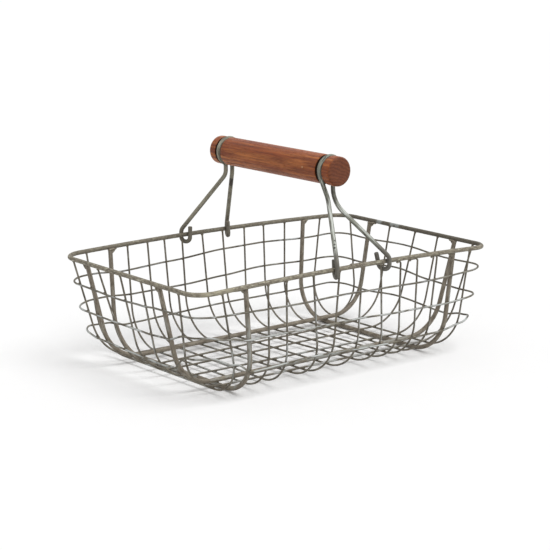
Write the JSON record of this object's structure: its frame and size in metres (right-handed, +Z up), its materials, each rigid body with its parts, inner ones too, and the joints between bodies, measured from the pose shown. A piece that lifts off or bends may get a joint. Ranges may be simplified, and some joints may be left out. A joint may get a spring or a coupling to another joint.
{
  "type": "wire kitchen basket",
  "caption": "Open rectangular basket of welded steel wire with rounded sides and a wooden grip carried on two wire bails, for holding and carrying kitchen goods.",
  "frame": {"origin": "on the table, under the middle of the object's bounding box", "axes": "+X along the rim's long sides to the right, +Y across to the far side, along the grip, +Z up"},
  "size_m": [0.405, 0.265, 0.2339],
  "materials": {
    "aged_steel": "matt, mottled warm grey, weathered",
    "dark_wire": "matt, dark brown-grey",
    "bare_steel": "half-bright bare steel with dark specks",
    "reddish_wood": "oiled reddish-brown wood"
  },
  "bodies": {
    "basket": {"rim": "aged_steel", "cross_rib_left": "aged_steel", "cross_rib_right": "aged_steel", "long_rib_near": "aged_steel", "long_rib_far": "aged_steel", "cross_wire_01": "dark_wire", "cross_wire_02": "dark_wire", "cross_wire_03": "dark_wire", "cross_wire_04": "dark_wire", "cross_wire_05": "dark_wire", "cross_wire_06": "dark_wire", "cross_wire_07": "dark_wire", "cross_wire_08": "dark_wire", "cross_wire_09": "dark_wire", "cross_wire_10": "dark_wire", "cross_wire_11": "dark_wire", "long_wire_1": "dark_wire", "long_wire_2": "dark_wire", "long_wire_3": "dark_wire", "long_wire_4": "dark_wire", "long_wire_5": "dark_wire", "upper_hoop": "dark_wire", "middle_hoop": "dark_wire", "lower_hoop": "dark_wire"},
    "far_bail": {"far_bail": "bare_steel"},
    "near_bail": {"near_bail": "bare_steel"},
    "grip": {"grip": "reddish_wood"}
  },
  "joints": [
    {"name": "far_bail_sway", "type": "hinge", "parent": "basket", "child": "far_bail", "pos_m": [0, 0.125, 0.1201], "axis": [1, 0, 0], "range_deg": [-4.5, 4.5]},
    {"name": "near_bail_sway", "type": "hinge", "parent": "basket", "child": "near_bail", "pos_m": [0, -0.125, 0.1201], "axis": [1, 0, 0], "range_deg": [-4.6, 4.6]},
    {"name": "grip_sway", "type": "hinge", "parent": "far_bail", "child": "grip", "pos_m": [-0.002, 0.088, 0.2171], "axis": [1, 0, 0], "range_deg": [-6.5, 6.5]}
  ],
  "couplings": [
    {"joint": "near_bail_sway", "follows": "far_bail_sway", "ratio": 1},
    {"joint": "grip_sway", "follows": "far_bail_sway", "ratio": -1.4204}
  ]
}
